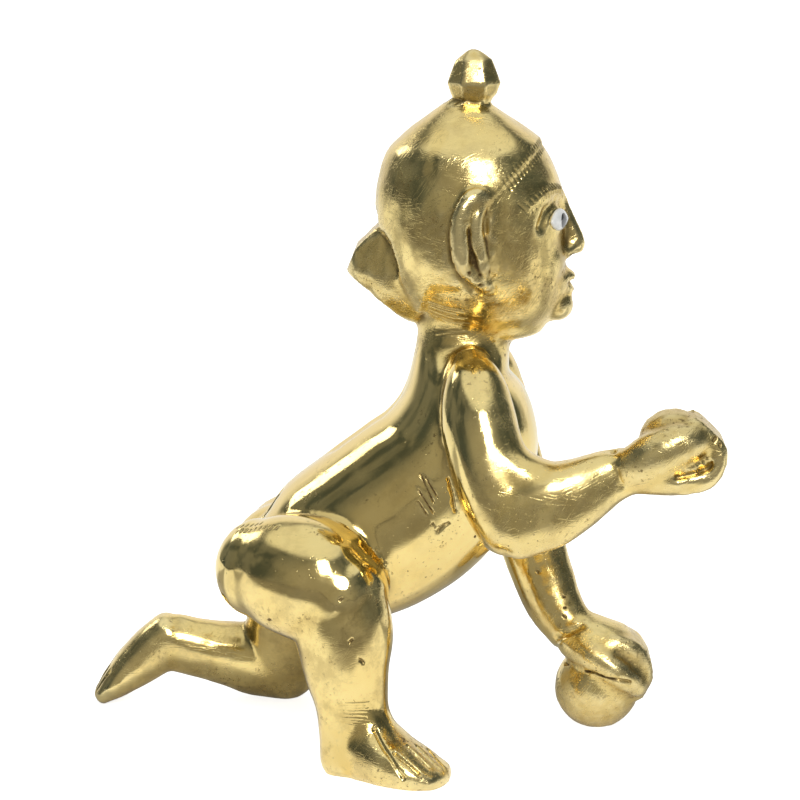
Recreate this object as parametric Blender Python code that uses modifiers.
"""A crawling child figure in polished cast brass, about 100 mm tall, with two inlaid enamel eyes.

The figure faces +X, its left side is +Y and +Z is up. It rests on the right sole, the ball under the
left hand, the left knee and the left toes, all cut flat at z = 0. The origin is on the floor, in the
middle of the figure's bounding box.
"""

import math

import bmesh
import bpy
import numpy as np
from mathutils import Matrix, Vector
from mathutils.bvhtree import BVHTree

# Driving sizes, in metres
FIGURE_HEIGHT = 0.100
EYE_WIDTH = 0.0060
EYE_HEIGHT = 0.0034
EYE_FRONT = 0.0008
EYE_BACK = 0.0007
EYE_CLEARANCE = 0.0002

# Fineness of the cast surface, in metres and triangles
VOXEL = FIGURE_HEIGHT * 0.0042
SMOOTH_STEPS = 7
LIMB_TRIANGLES = 4800
HEAD_TRIANGLES = 4000

# The pose below is in hundredths of the figure's height.
UNIT = FIGURE_HEIGHT / 100
RING_SIDES = 24
RING_STEPS = 5
CAP_RINGS = 4

BRASS_COLOUR = (0.80, 0.58, 0.24, 1.0)
ENAMEL_COLOUR = (0.90, 0.90, 0.88, 1.0)

# Loft stations: x, y, z of the centre, half width across the side axis, half depth in the other way.
TORSO = (
    (-16.6, 0.0, 24.6, 10.5, 8.2),
    (-11.5, 0.0, 27.0, 13.0, 11.2),
    (-3.6, 0.0, 31.0, 14.2, 12.8),
    (3.2, 0.0, 36.0, 14.2, 12.9),
    (7.9, 0.0, 42.2, 13.9, 12.0),
    (8.9, 0.0, 48.3, 13.3, 10.4),
    (8.6, 0.0, 53.6, 12.0, 7.4),
    (9.1, 0.0, 58.4, 7.4, 6.7),
    (9.4, 0.0, 64.0, 6.8, 6.6),
)
HEAD = (
    (12.6, 0.0, 60.8, 6.4, 8.2),
    (12.2, 0.0, 63.0, 8.7, 10.3),
    (11.4, 0.0, 66.5, 10.9, 12.0),
    (10.4, 0.0, 71.0, 12.4, 13.1),
    (10.1, 0.0, 76.0, 12.8, 13.2),
    (10.0, 0.0, 80.7, 12.4, 12.9),
    (9.7, 0.0, 85.2, 10.9, 11.3),
    (9.8, 0.0, 87.5, 8.9, 9.3),
    (9.5, 0.0, 89.8, 6.0, 6.2),
    (9.4, 0.0, 92.0, 2.8, 2.9),
)
TOPKNOT = (
    (9.7, 0.0, 90.5, 2.4, 2.8),
    (9.8, 0.0, 92.9, 2.2, 2.7),
    (10.4, 0.0, 95.2, 3.4, 4.0),
    (10.4, 0.0, 97.2, 2.8, 3.2),
)
BUN = (
    (4.4, 0.0, 68.8, 6.2, 8.0),
    (0.0, 0.0, 69.2, 5.8, 7.2),
    (-3.0, 0.0, 69.9, 5.2, 5.8),
    (-5.2, 0.0, 69.9, 4.4, 4.6),
)
RIGHT_UPPER_ARM = (
    (10.4, -8.8, 55.5, 3.6, 3.3),
    (10.9, -12.4, 53.2, 4.6, 4.6),
    (11.5, -15.1, 49.3, 5.2, 5.3),
    (12.7, -17.0, 44.6, 5.4, 5.5),
    (14.4, -18.4, 40.2, 5.4, 5.7),
    (16.4, -19.2, 36.4, 5.2, 5.5),
)
RIGHT_FOREARM = (
    (16.4, -19.2, 36.8, 5.2, 5.7),
    (20.8, -19.8, 38.6, 5.0, 5.8),
    (25.0, -19.6, 40.5, 4.4, 4.9),
    (28.8, -18.8, 42.4, 3.6, 3.9),
    (32.4, -18.0, 43.6, 3.2, 3.2),
)
RIGHT_CROOK = (
    (13.4, -17.2, 46.4, 4.4, 3.0),
    (16.9, -18.3, 43.2, 4.7, 3.2),
    (21.6, -19.5, 41.0, 4.6, 3.6),
)
LEFT_ARM = (
    (9.8, 8.6, 55.6, 3.8, 3.8),
    (11.2, 12.4, 52.6, 4.9, 5.1),
    (13.0, 15.0, 47.6, 5.2, 5.3),
    (14.8, 15.6, 40.4, 5.0, 5.3),
    (17.2, 14.0, 32.4, 4.8, 5.2),
    (19.8, 11.2, 24.4, 4.4, 4.8),
    (22.4, 8.4, 17.8, 3.9, 4.3),
    (25.2, 6.6, 13.6, 3.8, 3.6),
)
RIGHT_THIGH = (
    (-19.4, -10.6, 27.2, 7.0, 7.2),
    (-15.8, -12.6, 27.0, 8.2, 8.5),
    (-11.2, -14.6, 26.2, 8.3, 8.8),
    (-7.6, -16.0, 24.4, 7.4, 7.4),
)
RIGHT_SHIN = (
    (-8.2, -16.6, 24.6, 6.4, 7.0),
    (-7.3, -17.2, 19.6, 6.2, 7.0),
    (-6.9, -17.8, 14.6, 5.6, 6.1),
    (-6.2, -18.2, 10.0, 4.9, 5.2),
    (-6.0, -18.3, 5.6, 4.7, 4.8),
    (-6.0, -18.3, 1.0, 4.7, 4.7),
)
RIGHT_FOOT = (
    (-7.4, -17.6, 1.8, 4.5, 2.9),
    (-3.8, -19.0, 3.2, 5.3, 4.9),
    (-0.4, -20.8, 2.2, 5.8, 4.0),
    (3.1, -21.9, 1.2, 6.1, 2.9),
    (5.6, -22.5, 0.6, 5.3, 1.9),
)
RIGHT_INSTEP = (
    (-6.2, -18.4, 12.0, 4.2, 4.2),
    (-4.6, -18.6, 7.6, 4.4, 4.0),
    (-2.0, -19.8, 3.6, 4.8, 3.4),
)
LEFT_THIGH = (
    (-15.6, 8.6, 27.0, 8.0, 8.0),
    (-15.4, 12.0, 20.0, 7.6, 8.2),
    (-16.8, 15.0, 12.4, 6.8, 7.2),
    (-18.4, 16.6, 6.6, 6.0, 6.3),
)
LEFT_SHIN = (
    (-17.8, 16.6, 6.0, 5.6, 6.4),
    (-22.6, 16.6, 6.0, 5.4, 5.8),
    (-27.4, 16.2, 6.9, 4.9, 4.9),
    (-31.4, 15.6, 7.8, 4.4, 4.5),
    (-35.0, 15.2, 8.8, 4.1, 4.4),
)
LEFT_FOOT = (
    (-35.2, 15.0, 9.8, 3.9, 4.0),
    (-38.0, 14.9, 7.6, 4.2, 3.9),
    (-41.2, 14.7, 5.0, 4.7, 3.3),
    (-44.0, 14.5, 2.6, 4.9, 2.4),
    (-45.8, 14.4, 1.0, 4.4, 1.5),
)
RIGHT_PALM = (
    (31.4, -18.2, 43.3, 3.1, 3.0),
    (34.6, -17.8, 43.2, 4.6, 3.1),
    (38.0, -17.6, 43.0, 5.3, 3.0),
    (40.8, -17.6, 43.4, 5.0, 2.8),
)
LEFT_PALM = (
    (25.0, 6.8, 13.8, 3.8, 3.4),
    (28.4, 5.8, 13.2, 4.8, 3.0),
    (31.8, 5.4, 12.2, 5.3, 2.9),
)

# Balls held in the hands: x, y, z of the centre and the radius
RIGHT_BALL = (38.2, -17.4, 47.2, 4.8)
LEFT_BALL = (29.0, 5.2, 5.5, 6.2)

# Thumbs, and fingers as (x, z) with steps across the hand: paths and radii from root to tip
RIGHT_THUMB = ((31.4, -19.8, 43.7), (34.8, -20.9, 45.7), (38.8, -20.8, 47.7), (42.4, -19.6, 48.0))
RIGHT_THUMB_RADII = (2.6, 3.3, 3.1, 2.2)
LEFT_THUMB = ((25.4, 3.6, 12.6), (28.8, 1.0, 11.0), (32.2, -0.2, 8.8), (34.8, 0.8, 6.8))
LEFT_THUMB_RADII = (2.4, 2.4, 2.0, 1.5)
FINGER_STEPS = (-1.5, -0.5, 0.5, 1.5)
RIGHT_FINGER = ((39.6, 42.0), (42.8, 43.0), (44.2, 46.0), (43.0, 48.8), (40.8, 50.3))
RIGHT_FINGER_RADII = (1.55, 1.55, 1.4, 1.25, 1.1)
LEFT_FINGER = ((31.2, 13.0), (34.4, 11.6), (35.9, 8.4), (35.0, 5.4))
LEFT_FINGER_RADII = (1.6, 1.6, 1.4, 1.2)
FINGER_PITCH = (2.2, 1.8)

# The face: levels and offsets in pose units, from thirds of the face and an eye's width between the eyes
EYE_LEVEL = 76.4
EYE_OFFSET = 5.3
EYE_LIFT = 0.3
CORNER_SHARPNESS = 0.35
LOWER_LID = 0.85
NOSE = ((79.4, -0.5, 0.9), (76.6, 0.3, 1.1), (73.9, 1.1, 1.35), (72.3, 1.5, 1.5))
LIP_SPAN = (-2.5, -1.3, 0.0, 1.3, 2.5)
LIP_RADII = (0.4, 0.8, 0.85, 0.8, 0.4)
LIDS = ((0.50, 1.03), (0.42, -0.85))
EYE_WALL = 0.4
BROW = ((1.6, 79.3), (3.6, 80.5), (6.0, 80.9), (8.4, 80.3), (10.4, 78.6))
BROW_RADII = (0.45, 0.75, 0.8, 0.7, 0.45)
EAR_CENTRE = (10.6, 74.2)
EAR_LEAN = -12
EAR_RIM = (
    (11.7, 80.3, 0.2), (10.7, 80.5, 0.8), (9.5, 79.4, 1.2), (8.6, 76.6, 1.5),
    (8.7, 73.4, 1.5), (9.7, 70.6, 1.3), (11.2, 68.8, 0.9), (12.3, 68.1, 0.5),
)
EAR_RIM_RADIUS = 0.85
EAR_FOLD = ((11.2, 79.4, 0.7), (10.9, 76.8, 1.0), (11.3, 73.4, 1.1), (12.0, 70.6, 0.9))
EAR_FOLD_RADIUS = 0.65
HEAD_FOOT = 60.0

# The hair: it stands proud of the skin behind this edge, x against z, and its foot rises from the nape
HAIR_RISE = 0.45
HAIR_EDGE_Z = (60.0, 68.0, 79.6, 88.0, 100.0)
HAIR_EDGE_X = (8.6, 8.6, 12.6, 21.2, 33.6)
HAIR_FOOT_X = (2.5, 5.0)
HAIR_FOOT_Z = (61.4, 67.6)
HAIR_SOFTNESS = 0.35
HAIRLINE_MIDDLE = (10.2, 0, 77.0)

# Flat facets filed on the bun and the fist: a point on the facet, its outward direction and its reach
FACETS = (
    ((-4.8, 0.0, 73.4), (-0.69, 0.0, 0.72), 5.0),
    ((-6.8, 0.0, 70.5), (-0.93, 0.0, 0.37), 5.0),
    ((-3.6, 0.0, 65.3), (-0.64, 0.0, -0.77), 8.0),
    ((-3.6, -4.9, 70.4), (-0.28, -0.94, 0.20), 4.5),
    ((-3.6, 4.9, 70.4), (-0.28, 0.94, 0.20), 4.5),
    ((43.4, -17.4, 49.5), (0.69, 0.0, 0.72), 5.0),
)

# The topknot's rings of facets: lean in degrees, level, half depth and half width there, and reach
KNOT_CENTRE = (10.4, 0.0)
KNOT_SIDES = 8
KNOT_RINGS = ((20, 97.2, 3.0, 2.45, 5.0), (52, 99.0, 1.75, 1.4, 2.8), (-20, 94.2, 3.4, 2.85, 2.3))

# Places where the joins between forms are worked smooth: centre, reach and rounds of smoothing
SOFTENED = (
    ((-2.4, 0.0, 48.2), 15.0, 70),
    ((17.2, -18.5, 45.3), 6.0, 24),
    ((-2.6, -20.6, 8.0), 6.0, 24),
    ((30.6, -19.5, 46.4), 4.0, 12),
    ((-5.5, -13.5, 31.5), 7.0, 24),
)

# Furrows pressed into the surface: path, half width and depth
EYE_FURROW = ((1.9, 76.6), (3.0, 78.4), (5.4, 79.0), (7.9, 78.0), (8.9, 76.0))
FURROWS = (
    (((-13.0, 0, 36.0), (-20.0, 0, 33.5), (-25.5, 0, 27.0), (-25.0, 0, 20.0)), 2.0, 1.6),
    (((-8.9, 0, 42.6), (-4.7, 0, 46.1), (-0.9, 0, 49.7), (1.2, 0, 53.2)), 2.2, 0.35),
    (((15.6, 0, 28.4), (16.2, 0, 29.0)), 1.3, 1.0),
    (((1.6, -18.8, 4.2), (6.8, -21.2, 0.8)), 0.6, 0.7),
    (((0.9, -20.9, 4.2), (5.9, -23.0, 0.8)), 0.6, 0.7),
    (((0.2, -22.7, 3.9), (5.0, -24.7, 0.8)), 0.6, 0.7),
    (((-0.4, -24.4, 3.4), (4.0, -26.2, 0.8)), 0.6, 0.7),
    (((-44.0, 11.8, 4.6), (-47.2, 12.0, 0.8)), 0.6, 0.5),
    (((-44.0, 13.5, 4.8), (-47.2, 13.5, 0.8)), 0.6, 0.5),
    (((-44.0, 15.2, 4.8), (-47.2, 15.1, 0.8)), 0.6, 0.5),
    (((-44.0, 16.8, 4.6), (-47.0, 16.6, 0.8)), 0.6, 0.5),
    (((30.0, -19.3, 46.3), (30.4, -21.8, 44.0), (30.9, -21.6, 42.2)), 0.8, 0.35),
    (((23.0, 3.4, 13.2), (24.6, 2.3, 14.4), (26.4, 2.4, 15.4)), 0.8, 0.4),
    (((38.6, -22.6, 43.5), (41.2, -22.0, 44.0), (43.2, -21.3, 45.0)), 0.9, 1.3),
)


def clear_scene():
    """Empty the scene and give it a collection for the figure and one for its cutters."""
    for obj in list(bpy.data.objects):
        bpy.data.objects.remove(obj)
    figure = bpy.data.collections.new("crawling_child")
    cutters = bpy.data.collections.new("cutters")
    for collection in (figure, cutters):
        bpy.context.scene.collection.children.link(collection)
    return figure, cutters


def material(name, colour, roughness, metallic):
    """A plain Principled material."""
    made = bpy.data.materials.new(name)
    made.use_nodes = True
    shader = made.node_tree.nodes["Principled BSDF"]
    shader.inputs["Base Color"].default_value = colour
    shader.inputs["Roughness"].default_value = roughness
    shader.inputs["Metallic"].default_value = metallic
    return made


def smooth_rows(rows, steps):
    """Rows read from a smooth curve through the given rows (Catmull-Rom)."""
    rows = np.array(rows, float)
    ends = np.vstack([2 * rows[0] - rows[1], rows, 2 * rows[-1] - rows[-2]])
    made = []
    for a, b, c, d in zip(ends, ends[1:], ends[2:], ends[3:]):
        for t in np.arange(steps) / steps:
            made.append(
                0.5 * (2 * b + (c - a) * t + (2 * a - 5 * b + 4 * c - d) * t**2
                       + (3 * b - a - 3 * c + d) * t**3)
            )
    return np.array(made + [rows[-1]])


def capped_rows(rows, start_cap, end_cap):
    """Rows with round ends added: rings that shrink along a quarter circle of the cap's length."""
    first = (rows[0, :3] - rows[1, :3]) / np.linalg.norm(rows[0, :3] - rows[1, :3])
    last = (rows[-1, :3] - rows[-2, :3]) / np.linalg.norm(rows[-1, :3] - rows[-2, :3])
    turns = np.linspace(0, math.radians(86), CAP_RINGS + 1)[1:]
    before, after = [], []
    for t in turns:
        before.append(np.r_[rows[0, :3] + first * start_cap * math.sin(t), rows[0, 3:] * math.cos(t)])
        after.append(np.r_[rows[-1, :3] + last * end_cap * math.sin(t), rows[-1, 3:] * math.cos(t)])
    return np.array(before[::-1] + list(rows) + after)


def loft(stations, start_cap, end_cap, side=(0, 1, 0), squareness=2.0, level=False):
    """A bmesh skin through oval rings, with round ends, in pose units; level keeps the rings flat."""
    rows = capped_rows(smooth_rows(stations, RING_STEPS), start_cap, end_cap)
    tangents = np.gradient(rows[:, :3], axis=0)
    if level:
        tangents[:] = (0, 0, 1)
    tangents /= np.linalg.norm(tangents, axis=1)[:, None]
    across = np.array(side, float) - (tangents @ np.array(side, float))[:, None] * tangents
    across /= np.linalg.norm(across, axis=1)[:, None]
    through = np.cross(tangents, across)
    angles = np.arange(RING_SIDES) * 2 * math.pi / RING_SIDES
    power = 2 / squareness
    wide = np.sign(np.cos(angles)) * np.abs(np.cos(angles)) ** power
    deep = np.sign(np.sin(angles)) * np.abs(np.sin(angles)) ** power
    mesh = bmesh.new()
    rings = []
    for row, u, v in zip(rows, across, through):
        points = row[:3] + np.outer(wide * row[3], u) + np.outer(deep * row[4], v)
        rings.append([mesh.verts.new(p * UNIT) for p in points])
    for ring, following in zip(rings, rings[1:]):
        for i in range(RING_SIDES):
            j = (i + 1) % RING_SIDES
            mesh.faces.new((ring[i], ring[j], following[j], following[i]))
    mesh.faces.new(rings[0])
    mesh.faces.new(rings[-1])
    bmesh.ops.recalc_face_normals(mesh, faces=mesh.faces)
    return mesh


def tube(points, radii):
    """A round tapered tube through points, with round ends, in pose units."""
    stations = [(*point, radius, radius) for point, radius in zip(points, radii)]
    run = Vector(points[-1]) - Vector(points[0])
    side = Vector((0, 1, 0)) if abs(run.normalized().y) < 0.8 else Vector((0, 0, 1))
    return loft(stations, radii[0], radii[-1], side)


def ellipsoid(centre, radii, turn=Matrix.Identity(3)):
    """A stretched sphere, in pose units."""
    mesh = bmesh.new()
    place = Matrix.LocRotScale(Vector(centre) * UNIT, turn, Vector(radii) * UNIT)
    bmesh.ops.create_uvsphere(mesh, u_segments=32, v_segments=20, radius=1, matrix=place)
    return mesh


def object_of(meshes, name, collection):
    """One object that holds several bmeshes side by side."""
    whole = bpy.data.meshes.new(name)
    joined = bmesh.new()
    for mesh in meshes:
        mesh.to_mesh(whole)
        joined.from_mesh(whole)
        mesh.free()
    joined.to_mesh(whole)
    joined.free()
    obj = bpy.data.objects.new(name, whole)
    collection.objects.link(obj)
    return obj


class Skin:
    """The surface of a bare form, to which smaller forms and strokes are fitted."""

    def __init__(self, mesh):
        self.tree = BVHTree.FromBMesh(mesh)

    def cast(self, start, direction, lift=0.0):
        """The point where a ray meets the skin, raised by lift, and the skin's normal there."""
        found, normal, _, _ = self.tree.ray_cast(Vector(start) * UNIT, Vector(direction))
        return found / UNIT + normal * lift, normal

    def front(self, y, z, lift=0.0):
        """A point on the face, seen from the front."""
        return self.cast((60, y, z), (-1, 0, 0), lift)[0]

    def flank(self, side, x, z, lift=0.0):
        """A point on one side of the head, seen from that side."""
        return self.cast((x, 60 * side, z), (0, -side, 0), lift)[0]


def eye_place(skin, side):
    """The centre and turn of an eye: local X across the face, local Y up, local Z out."""
    centre, outward = skin.cast((60, side * EYE_OFFSET, EYE_LEVEL), (-1, 0, 0), EYE_LIFT)
    upward = (Vector((0, 0, 1)) - outward * outward.z).normalized()
    turn = Matrix((upward.cross(outward), upward, outward)).transposed()
    return centre, turn


def almond(name, width, height, front, back, collection):
    """A closed almond lens about its own origin: a sphere drawn to two corners."""
    mesh = bmesh.new()
    bmesh.ops.create_uvsphere(mesh, u_segments=20, v_segments=8, radius=1)
    for vert in mesh.verts:
        taper = max(1 - vert.co.x**2, 0) ** CORNER_SHARPNESS
        vert.co.y *= taper * height / 2 * (1 if vert.co.y > 0 else LOWER_LID)
        vert.co.z *= taper**0.5 * (front if vert.co.z > 0 else back)
        vert.co.x *= width / 2
    obj = object_of([mesh], name, collection)
    for polygon in obj.data.polygons:
        polygon.use_smooth = True
    return obj


def face_forms(skin):
    """Nose, lips, chin, cheeks, brows, eyeballs and eyelids."""
    forms = [
        tube([skin.front(0, z, lift) for z, lift, _ in NOSE], [radius for _, _, radius in NOSE]),
        ellipsoid(skin.front(0, 67.0, -1.7), (2.6, 4.4, 2.6)),
        ellipsoid(skin.front(0, 63.4, -0.5), (2.6, 3.2, 2.3)),
        tube([skin.front(y, 67.9 - 0.10 * y * y, 0.75 - 0.1 * y * y) for y in LIP_SPAN], LIP_RADII),
        tube([skin.front(y, 66.3 + 0.12 * y * y, 0.7 - 0.1 * y * y) for y in LIP_SPAN], LIP_RADII),
    ]
    for side in (-1, 1):
        forms.append(ellipsoid(skin.front(side * 1.5, 71.5, 0.5), (1.2, 0.95, 0.9)))
        forms.append(ellipsoid(skin.front(side * 6.2, 69.9, -6.5), (7.0, 6.6, 6.4)))
        forms.append(tube([skin.front(side * y, z, -0.15) for y, z in BROW], BROW_RADII))
        forms += eye_bed(*eye_place(skin, side), side)
    return forms


def eye_bed(centre, turn, side):
    """The eyeball that an eye is let into, deep enough to hold it, and the lids round its edge."""
    half_width, half_height = EYE_WIDTH / 2 / UNIT, EYE_HEIGHT / 2 / UNIT
    depth = (EYE_BACK + EYE_CLEARANCE) / UNIT + EYE_WALL
    ball = (1.1 * half_width, 1.24 * half_height, depth)
    forms = [ellipsoid(centre - turn @ Vector((0, 0, depth)), ball, turn)]
    for lid, bow in LIDS:
        points, radii = [], []
        for t in np.linspace(-1, 1, 9):
            place = Vector((side * t * half_width, bow * half_height * (1 - t * t), -0.25 - 0.35 * t * t))
            points.append(centre + turn @ place)
            radii.append(lid * (1 - 0.35 * abs(t)))
        forms.append(tube(points, radii))
    return forms


def ear_forms(skin, side):
    """The plate, rim and inner fold of one ear."""
    plate = skin.flank(side, *EAR_CENTRE, 0.1)
    lean = Matrix.Rotation(math.radians(EAR_LEAN), 3, "Y")
    rim = [skin.flank(side, x, z, lift) for x, z, lift in EAR_RIM]
    fold = [skin.flank(side, x, z, lift) for x, z, lift in EAR_FOLD]
    return [
        ellipsoid(plate, (1.9, 1.0, 5.8), lean),
        tube(rim, [EAR_RIM_RADIUS] * len(rim)),
        tube(fold, [EAR_FOLD_RADIUS] * len(fold)),
    ]


def hand_forms():
    """Both palms, the balls that they hold, and the fingers and thumbs that close on them."""
    forms = [loft(RIGHT_PALM, 1.5, 3.0), loft(LEFT_PALM, 1.5, 2.6)]
    for x, y, z, radius in (RIGHT_BALL, LEFT_BALL):
        forms.append(ellipsoid((x, y, z), (radius, radius, radius)))
    for finger, radii, ball in (
        (RIGHT_FINGER, RIGHT_FINGER_RADII, RIGHT_BALL),
        (LEFT_FINGER, LEFT_FINGER_RADII, LEFT_BALL),
    ):
        pitches = np.linspace(*FINGER_PITCH, len(finger))
        for step in FINGER_STEPS:
            path = [(x, ball[1] + step * pitch, z) for (x, z), pitch in zip(finger, pitches)]
            forms.append(tube(path, radii))
    forms.append(tube(RIGHT_THUMB, RIGHT_THUMB_RADII))
    forms.append(tube(LEFT_THUMB, LEFT_THUMB_RADII))
    return forms


def limb_forms():
    """The trunk, arms and legs."""
    return [
        loft(TORSO, 6.0, 3.0, squareness=2.15),
        loft(RIGHT_UPPER_ARM, 3.0, 4.8),
        loft(RIGHT_FOREARM, 4.0, 1.5, squareness=2.6),
        loft(RIGHT_CROOK, 2.0, 2.0),
        loft(LEFT_ARM, 3.0, 2.0),
        loft(RIGHT_THIGH, 6.4, 6.2),
        loft(RIGHT_SHIN, 5.4, 0.6),
        loft(RIGHT_FOOT, 3.0, 2.2, squareness=2.3),
        loft(RIGHT_INSTEP, 2.0, 1.5),
        loft(LEFT_THIGH, 6.0, 5.2),
        loft(LEFT_SHIN, 5.2, 2.6),
        loft(LEFT_FOOT, 2.6, 1.4, squareness=2.3),
        ellipsoid((-17.0, 6.6, 24.6), (8.4, 7.6, 8.2)),
    ]


def head_forms():
    """The bare skull and its skin, the topknot, the bun at the nape, the face and the ears."""
    skull = loft(HEAD, 2.4, 1.0, squareness=2.1, level=True)
    skin = Skin(skull)
    topknot = loft(TOPKNOT, 1.0, 2.4, level=True)
    bun = loft(BUN, 2.0, 2.2)
    forms = [skull, topknot, bun] + face_forms(skin)
    for side in (-1, 1):
        forms += ear_forms(skin, side)
    return forms, skin


def press(points, normals, path, width, depth):
    """Move the points near a path of pose points inwards along their normals, deepest on the path."""
    path = np.array([tuple(p) for p in path], float) * UNIT
    near = np.full(len(points), np.inf)
    for a, b in zip(path, path[1:]):
        run = b - a
        share = np.clip((points - a) @ run / (run @ run), 0, 1)
        near = np.minimum(near, np.linalg.norm(points - a - share[:, None] * run, axis=1))
    fall = np.clip(1 - (near / (width * UNIT)) ** 2, 0, 1) ** 2
    points -= normals * (fall * depth * UNIT)[:, None]


def soften(mesh, points):
    """Draw the points in each softened place towards the middle of their neighbours."""
    pairs = np.empty(len(mesh.edges) * 2, np.int32)
    mesh.edges.foreach_get("vertices", pairs)
    ways = np.concatenate([pairs.reshape(-1, 2), pairs.reshape(-1, 2)[:, ::-1]]).T
    count = np.bincount(ways[0], minlength=len(points))
    for centre, reach, rounds in SOFTENED:
        gap = np.linalg.norm(points / UNIT - centre, axis=1) / reach
        share = np.clip(1 - gap, 0, 0.5)[:, None]
        for _ in range(rounds):
            total = [np.bincount(ways[0], points[ways[1], axis], len(points)) for axis in range(3)]
            points += share * ((total / count).T - points)


def facets():
    """Every facet: those of the bun and the fist, and the rings of them round the topknot."""
    yield from FACETS
    for lean, level, half_depth, half_width, reach in KNOT_RINGS:
        flat, rise = math.cos(math.radians(lean)), math.sin(math.radians(lean))
        for turn in np.arange(KNOT_SIDES) * 2 * math.pi / KNOT_SIDES:
            x, y = math.sin(turn), math.cos(turn)
            middle = (KNOT_CENTRE[0] + x * half_depth, KNOT_CENTRE[1] + y * half_width, level)
            yield middle, (x * flat, y * flat, rise), reach


def flatten(points):
    """Bring the points that stand beyond a facet's plane back to it."""
    for middle, outward, reach in facets():
        middle, outward = np.array(middle) * UNIT, np.array(outward) / np.linalg.norm(outward)
        beyond = np.clip((points - middle) @ outward, 0, None)
        beyond[np.linalg.norm(points - middle, axis=1) > reach * UNIT] = 0
        points -= np.outer(beyond, outward)


def hair_rise(points, normals):
    """Raise the hair above the skin, with a soft step along its edge."""
    x, z = points[:, 0] / UNIT, points[:, 2] / UNIT
    behind = (np.interp(z, HAIR_EDGE_Z, HAIR_EDGE_X) - x) / HAIR_SOFTNESS
    above = (z - np.interp(x, HAIR_FOOT_X, HAIR_FOOT_Z)) / HAIR_SOFTNESS
    share = 1 / (1 + np.exp(-np.clip(np.minimum(behind, above), -30, 30)))
    points += normals * (share * HAIR_RISE * UNIT)[:, None]


def hairline_strokes(skin):
    """Short nicks across the hair's front edge, from ear to ear."""
    middle = Vector(HAIRLINE_MIDDLE)
    rising, across = Vector((1, 0, 1)).normalized(), Vector((1, 0, -1)).normalized()
    for angle in np.radians(np.arange(-72, 73, 6)):
        outward = rising * math.cos(angle) + Vector((0, 1, 0)) * math.sin(angle)
        starts = [middle + across * step + outward * 50 for step in (-0.9, 0.9)]
        yield [skin.cast(start, -outward, 0.3)[0] for start in starts]


def carve(points, normals, skin):
    """The hair's edge, the mouth, eye furrows, navel, spine and clefts of toes and seat."""
    hair_rise(points, normals)
    flatten(points)
    for ends in hairline_strokes(skin):
        press(points, normals, ends, 0.55, 0.3)
    press(points, normals, [skin.front(y, 67.1, 1.2) for y in LIP_SPAN], 0.6, 0.5)
    for side in (-1, 1):
        press(points, normals, [skin.front(side * y, z) for y, z in EYE_FURROW], 1.2, 0.55)
    for path, width, depth in FURROWS:
        press(points, normals, path, width, depth)


def fused_body(forms, skin, collection):
    """One mesh skin around all the forms, smoothed and carved."""
    obj = object_of(forms, "cast_body", collection)
    remesh = obj.modifiers.new("skin", "REMESH")
    remesh.mode = "VOXEL"
    remesh.voxel_size = VOXEL
    smooth = obj.modifiers.new("soften", "SMOOTH")
    smooth.factor = 0.5
    smooth.iterations = SMOOTH_STEPS
    graph = bpy.context.evaluated_depsgraph_get()
    mesh = bpy.data.meshes.new_from_object(obj.evaluated_get(graph))
    obj.modifiers.clear()
    obj.data = mesh
    points = np.empty(len(mesh.vertices) * 3, np.float32)
    normals = np.empty(len(mesh.vertices) * 3, np.float32)
    mesh.vertices.foreach_get("co", points)
    mesh.vertex_normals.foreach_get("vector", normals)
    points, normals = points.reshape(-1, 3).astype(float), normals.reshape(-1, 3)
    soften(mesh, points)
    carve(points, normals, skin)
    mesh.vertices.foreach_set("co", points.astype(np.float32).ravel())
    mesh.update()
    return obj


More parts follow.
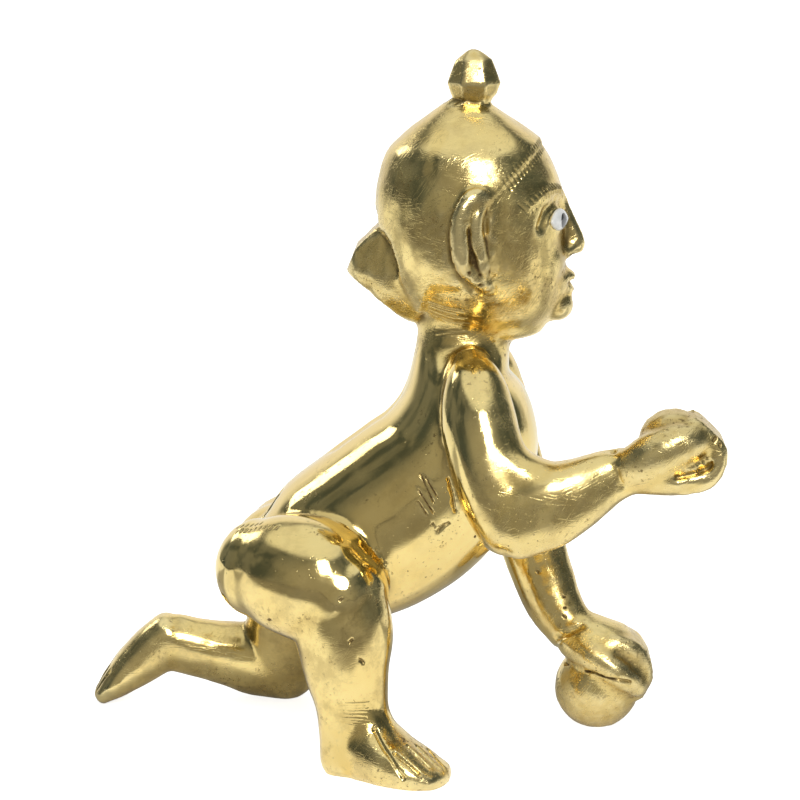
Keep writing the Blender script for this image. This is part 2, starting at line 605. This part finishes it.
def thin_out(obj):
    """Reduce the dense skin to facets, with more of them kept on the head than on trunk and limbs."""
    above = np.array([vert.co.z > HEAD_FOOT * UNIT for vert in obj.data.vertices])
    head = 2 * sum(1 for polygon in obj.data.polygons if polygon.center.z > HEAD_FOOT * UNIT)
    limbs = 2 * len(obj.data.polygons) - head
    for name, chosen, ratio in (
        ("limbs", ~above, (head + LIMB_TRIANGLES) / (head + limbs)),
        ("head", above, (HEAD_TRIANGLES + LIMB_TRIANGLES) / (head + LIMB_TRIANGLES)),
    ):
        obj.vertex_groups.new(name=name).add(np.flatnonzero(chosen).tolist(), 1.0, "ADD")
        thin = obj.modifiers.new("thin_" + name, "DECIMATE")
        thin.ratio = ratio
        thin.vertex_group = name


def cut(obj, cutter):
    """Take the cutter's shape out of the object."""
    boolean = obj.modifiers.new("cut_" + cutter.name, "BOOLEAN")
    boolean.operation = "DIFFERENCE"
    boolean.object = cutter
    cutter.hide_render = True
    cutter.display_type = "WIRE"


def floor_block(collection):
    """A block below z = 0, which cuts the resting places flat."""
    mesh = bmesh.new()
    size = 2 * FIGURE_HEIGHT
    place = Matrix.Translation((0, 0, -size / 2)) @ Matrix.Diagonal((size, size, size, 1))
    bmesh.ops.create_cube(mesh, size=1, matrix=place)
    return object_of([mesh], "floor_block", collection)


def stand_on_origin(body):
    """Move everything so that the origin is under the middle of the body's bounding box."""
    bpy.context.view_layer.update()
    solid = body.evaluated_get(bpy.context.evaluated_depsgraph_get())
    corners = [Vector(corner) for corner in solid.bound_box]
    middle = (corners[0] + corners[6]) / 2
    for obj in bpy.data.objects:
        obj.matrix_world = Matrix.Translation((-middle.x, -middle.y, 0)) @ obj.matrix_world


def main():
    figure, cutters = clear_scene()
    head, skin = head_forms()
    body = fused_body(head + limb_forms() + hand_forms(), skin, figure)
    body.data.materials.append(material("polished_brass", BRASS_COLOUR, 0.2, 1.0))
    thin_out(body)
    cut(body, floor_block(cutters))
    enamel = material("white_enamel", ENAMEL_COLOUR, 0.1, 0.0)
    for side, name in ((-1, "right_eye"), (1, "left_eye")):
        centre, turn = eye_place(skin, side)
        gap = 2 * EYE_CLEARANCE
        socket = almond(
            name + "_socket", EYE_WIDTH + gap, EYE_HEIGHT + gap,
            EYE_FRONT + EYE_CLEARANCE, EYE_BACK + EYE_CLEARANCE, cutters,
        )
        eye = almond(name, EYE_WIDTH, EYE_HEIGHT, EYE_FRONT, EYE_BACK, figure)
        eye.data.materials.append(enamel)
        for obj in (eye, socket):
            obj.matrix_world = Matrix.LocRotScale(centre * UNIT, turn, None)
        cut(body, socket)
    stand_on_origin(body)


main()
